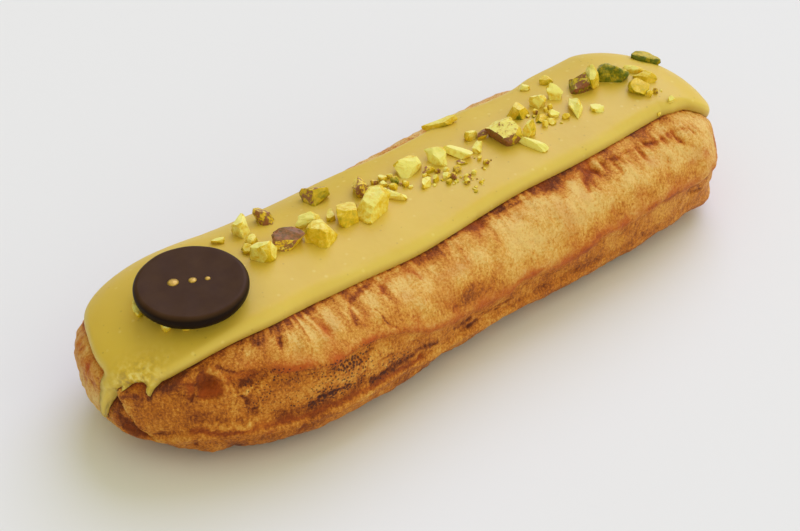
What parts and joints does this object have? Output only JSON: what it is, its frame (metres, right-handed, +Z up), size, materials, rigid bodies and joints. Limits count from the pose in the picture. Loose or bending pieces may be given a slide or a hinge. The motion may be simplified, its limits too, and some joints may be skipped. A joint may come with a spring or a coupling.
{
  "type": "pistachio eclair",
  "caption": "Long baked choux pastry with rounded ends, topped with smooth pistachio icing, a row of chopped nuts and a round chocolate disc at one end.",
  "frame": {"origin": "on the floor under the middle of the bounding box", "axes": "+X along the pastry from the end with the chocolate disc to the plain end, +Z up, -Y the side seen in the picture"},
  "size_m": [0.151, 0.049, 0.0332],
  "materials": {
    "choux": "matte",
    "icing": "satin",
    "chocolate": "satin",
    "nut": "matte"
  },
  "bodies": {
    "root": {"choux_shell": "choux", "pistachio_icing": "icing", "chocolate_disc": "chocolate"}
  },
  "joints": []
}
